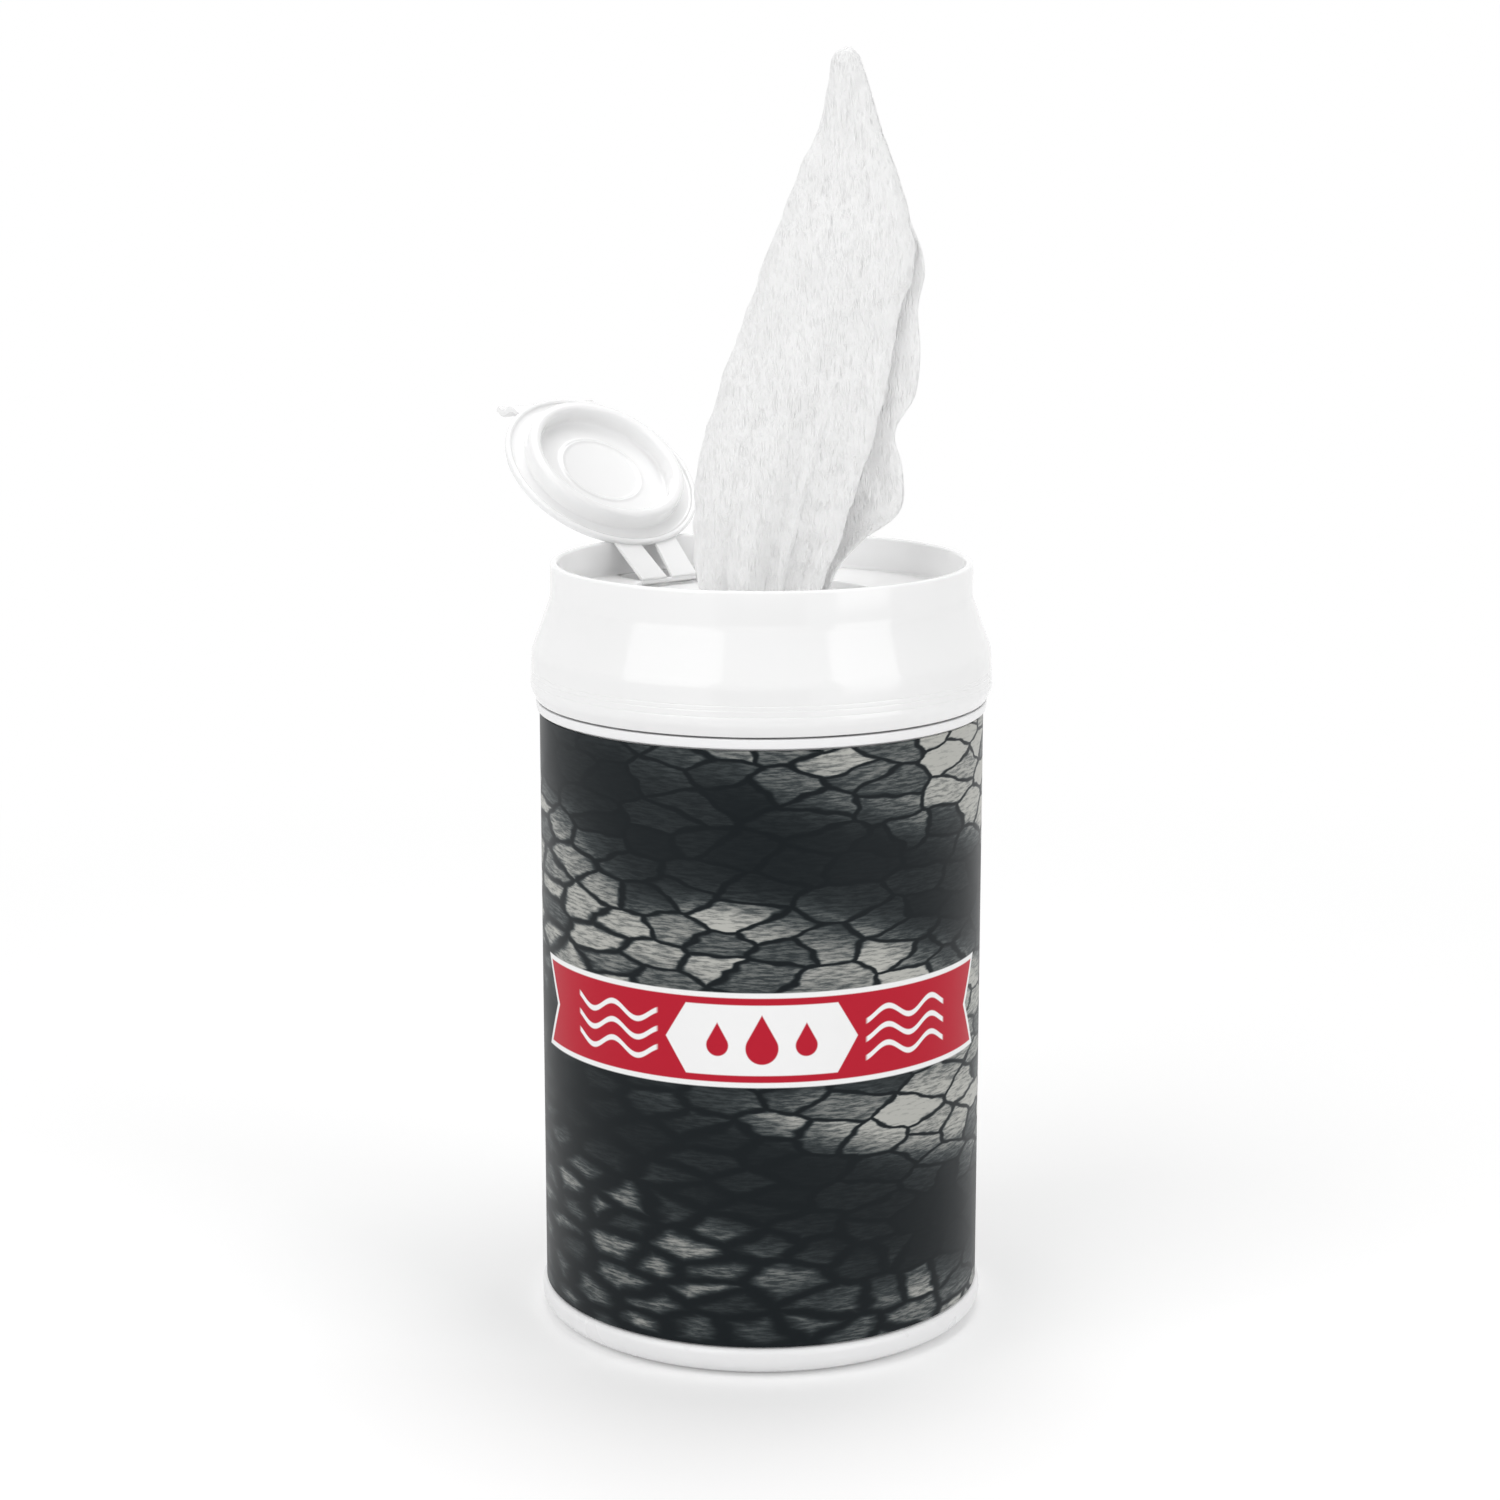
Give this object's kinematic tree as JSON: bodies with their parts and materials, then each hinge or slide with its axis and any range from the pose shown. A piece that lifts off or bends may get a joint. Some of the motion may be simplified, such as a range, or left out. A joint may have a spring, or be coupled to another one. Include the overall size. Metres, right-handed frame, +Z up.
{
  "type": "wet wipes dispenser",
  "caption": "Can-shaped wet wipes dispenser with a wrapped film label, a threaded screw cap with a recessed deck, a hinged flip lid and a wipe drawn up through the cap's hole.",
  "frame": {"origin": "centre of the underside of the can, on the plane that it stands on", "axes": "+Z up along the can's own axis; -Y faces the viewer of the front; the lid's hinge lies to the back left"},
  "size_m": [0.0814, 0.0901, 0.2005],
  "materials": {
    "can_plastic": "moulded white plastic, satin gloss",
    "cap_plastic": "moulded white plastic, high gloss, slightly milky",
    "printed_film": "printed film label, dark grey pattern with a red panel, satin gloss",
    "wipe_cloth": "white fibrous nonwoven cloth, damp and slightly see-through",
    "roll_cloth": "white nonwoven cloth, wound edge on"
  },
  "bodies": {
    "can": {"can_body": "can_plastic", "wrap_label": "printed_film", "wipe_roll": "roll_cloth"},
    "drawn_wipe": {"pulled_wipe": "wipe_cloth"},
    "cap": {"screw_cap": "cap_plastic"},
    "lid": {"flip_lid": "cap_plastic"}
  },
  "joints": [
    {"name": "cap_lift", "type": "slide", "parent": "can", "child": "drawn_wipe", "axis": [0, 0, 1], "range_m": [0, 0.005]},
    {"name": "cap_turn", "type": "hinge", "parent": "drawn_wipe", "child": "cap", "pos_m": [0, 0, 0.11], "axis": [0, 0, 1], "range_deg": [0, 449.9]},
    {"name": "lid_hinge", "type": "hinge", "parent": "cap", "child": "lid", "pos_m": [-0.01512, 0.01915, 0.116], "axis": [0.7848, 0.6198, 0], "range_deg": [0, 141], "deforming": ["pulled_wipe"]}
  ],
  "couplings": [
    {"joint": "cap_lift", "follows": "cap_turn", "m_per_rad": 0.00063662}
  ]
}
